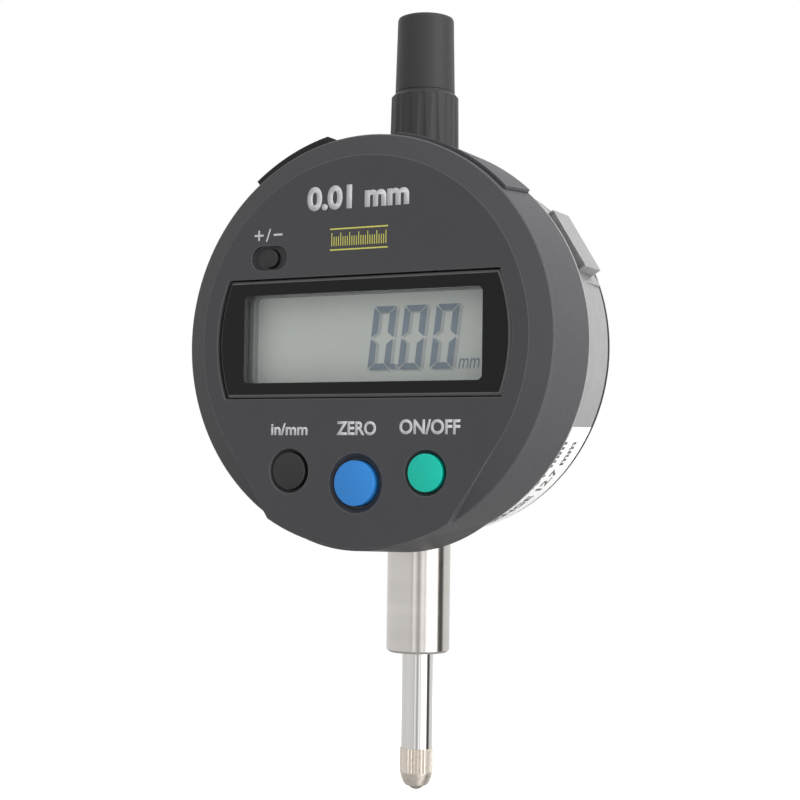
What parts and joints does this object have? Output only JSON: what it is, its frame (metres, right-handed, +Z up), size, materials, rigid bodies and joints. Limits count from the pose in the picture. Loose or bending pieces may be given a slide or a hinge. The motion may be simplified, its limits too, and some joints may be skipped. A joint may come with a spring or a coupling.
{
  "type": "digital plunger indicator",
  "caption": "Round electronic plunger indicator with display, push buttons, spindle cap, lug back, plain stem and sprung spindle with a ball contact point.",
  "frame": {"origin": "on the spindle axis, where the stem meets the level of the lowest point of the case rim", "axes": "+Z up along the spindle towards the cap, the display faces -Y, the contact point is at the bottom"},
  "size_m": [0.059, 0.041, 0.1177],
  "materials": {
    "dark_plastic": "fine satin moulded plastic",
    "cap_plastic": "satin moulded plastic",
    "black_gloss": "gloss",
    "clear_lens": "clear gloss",
    "grey_plastic": "matt",
    "lcd_glass": "greenish grey, satin",
    "strip_rubber": "matt",
    "board": "green solder mask",
    "black_plastic": "matt",
    "tin_steel": "bright tin plate",
    "capacitor_tan": "ceramic",
    "screw_steel": "zinc plate",
    "black_rubber": "matt",
    "silver_metal": "satin",
    "label_white": "printed film",
    "stem_steel": "fine turned",
    "bronze": "sintered bronze",
    "flex_film": "polyimide film",
    "gold_contact": "gold plate",
    "spring_steel": "drawn wire",
    "spindle_steel": "ground and polished",
    "contact_steel": "knurled",
    "ball_steel": "polished",
    "scale_glass": "glass strip",
    "cell_steel": "bright",
    "cover_black": "satin",
    "button_black": "satin",
    "button_blue": "satin",
    "button_green": "satin",
    "plunger_red": "matt"
  },
  "bodies": {
    "case": {"front_case": "dark_plastic", "display_bezel": "black_gloss", "display_lens": "clear_lens", "lcd_frame": "grey_plastic", "lcd_panel": "lcd_glass", "lcd_strips": "strip_rubber", "main_board": "board", "processor_chip": "black_plastic", "crystal": "tin_steel", "capacitors": "capacitor_tan", "resistors": "black_plastic", "tact_switches": "black_plastic", "board_screws": "screw_steel", "case_gasket": "black_rubber", "rear_case": "silver_metal", "case_screws": "screw_steel", "back_cover": "black_plastic", "back_cover_screws": "screw_steel", "rating_label": "label_white", "stem": "stem_steel", "lower_bush": "bronze", "spindle_seal": "black_rubber", "upper_sleeve": "stem_steel", "upper_bush": "bronze", "guide_frame": "silver_metal", "end_stop": "black_rubber", "sensor_board": "board", "sensor_screws": "screw_steel", "flex_cable": "flex_film", "data_connector": "black_plastic", "connector_contacts": "gold_contact", "cell_spring_contact": "tin_steel", "cell_plate_contact": "tin_steel", "return_spring": "spring_steel"},
    "spindle": {"spindle": "spindle_steel", "contact_point": "contact_steel", "contact_ball": "ball_steel", "scale_carrier": "silver_metal", "carrier_screw": "screw_steel", "encoder_scale": "scale_glass", "guide_pin": "spindle_steel", "stop_collar": "stem_steel"},
    "spindle_cap": {"spindle_cap": "cap_plastic"},
    "cell_tray": {"cell_tray": "dark_plastic", "coin_cell": "cell_steel"},
    "connector_cover": {"connector_cover": "cover_black"},
    "unit_button": {"unit_button": "button_black", "unit_plunger": "plunger_red"},
    "zero_button": {"zero_button": "button_blue", "zero_plunger": "plunger_red"},
    "power_button": {"power_button": "button_green", "power_plunger": "plunger_red"},
    "sign_button": {"sign_button": "button_black", "sign_plunger": "plunger_red"}
  },
  "joints": [
    {"name": "spindle_slide", "type": "slide", "parent": "case", "child": "spindle", "axis": [0, 0, 1], "range_m": [0, 0.0127], "stiffness_N_per_m": 40, "springref_m": -0.025, "deforming": ["return_spring"]},
    {"name": "spindle_cap_lift", "type": "slide", "parent": "case", "child": "spindle_cap", "axis": [0, 0, 1], "range_m": [0, 0.024]},
    {"name": "cell_tray_slide", "type": "slide", "parent": "case", "child": "cell_tray", "axis": [0.4617, 0, 0.887], "range_m": [0, 0.016]},
    {"name": "connector_cover_pull", "type": "slide", "parent": "case", "child": "connector_cover", "axis": [-0.4384, 0, 0.8988], "range_m": [0, 0.01]},
    {"name": "unit_button_press", "type": "slide", "parent": "case", "child": "unit_button", "axis": [0, 1, 0], "range_m": [0, 0.0004], "stiffness_N_per_m": 1200, "springref_m": -0.0004},
    {"name": "zero_button_press", "type": "slide", "parent": "case", "child": "zero_button", "axis": [0, 1, 0], "range_m": [0, 0.0004], "stiffness_N_per_m": 1200, "springref_m": -0.0004},
    {"name": "power_button_press", "type": "slide", "parent": "case", "child": "power_button", "axis": [0, 1, 0], "range_m": [0, 0.0004], "stiffness_N_per_m": 1200, "springref_m": -0.0004},
    {"name": "sign_button_press", "type": "slide", "parent": "case", "child": "sign_button", "axis": [0, 1, 0], "range_m": [0, 0.0004], "stiffness_N_per_m": 1200, "springref_m": -0.0004}
  ]
}
